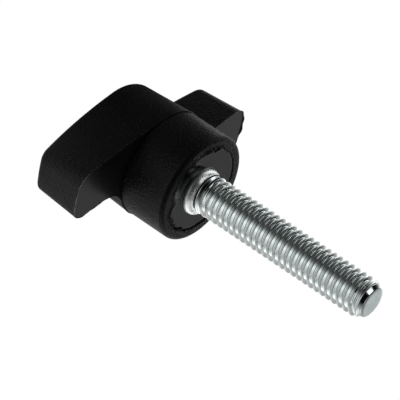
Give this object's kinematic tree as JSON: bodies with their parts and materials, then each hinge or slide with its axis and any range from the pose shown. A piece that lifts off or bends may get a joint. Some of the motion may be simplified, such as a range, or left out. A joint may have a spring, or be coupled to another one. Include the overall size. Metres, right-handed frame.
{
  "type": "wing clamping knob",
  "caption": "Two-winged moulded knob on a threaded steel stud, turned by hand to clamp or lock a part.",
  "frame": {"origin": "on the stud's axis where the thread leaves the collar", "axes": "+Z along the stud towards its tip, X along the wings, Y across them. The knob stands on its arched back."},
  "size_m": [0.0342, 0.0162, 0.0467],
  "materials": {
    "knob_body": "fine matt texture, black glass-filled nylon",
    "threaded_stud": "bright bluish zinc plating"
  },
  "bodies": {
    "root": {"knob_body": "knob_body", "threaded_stud": "threaded_stud"}
  },
  "joints": []
}
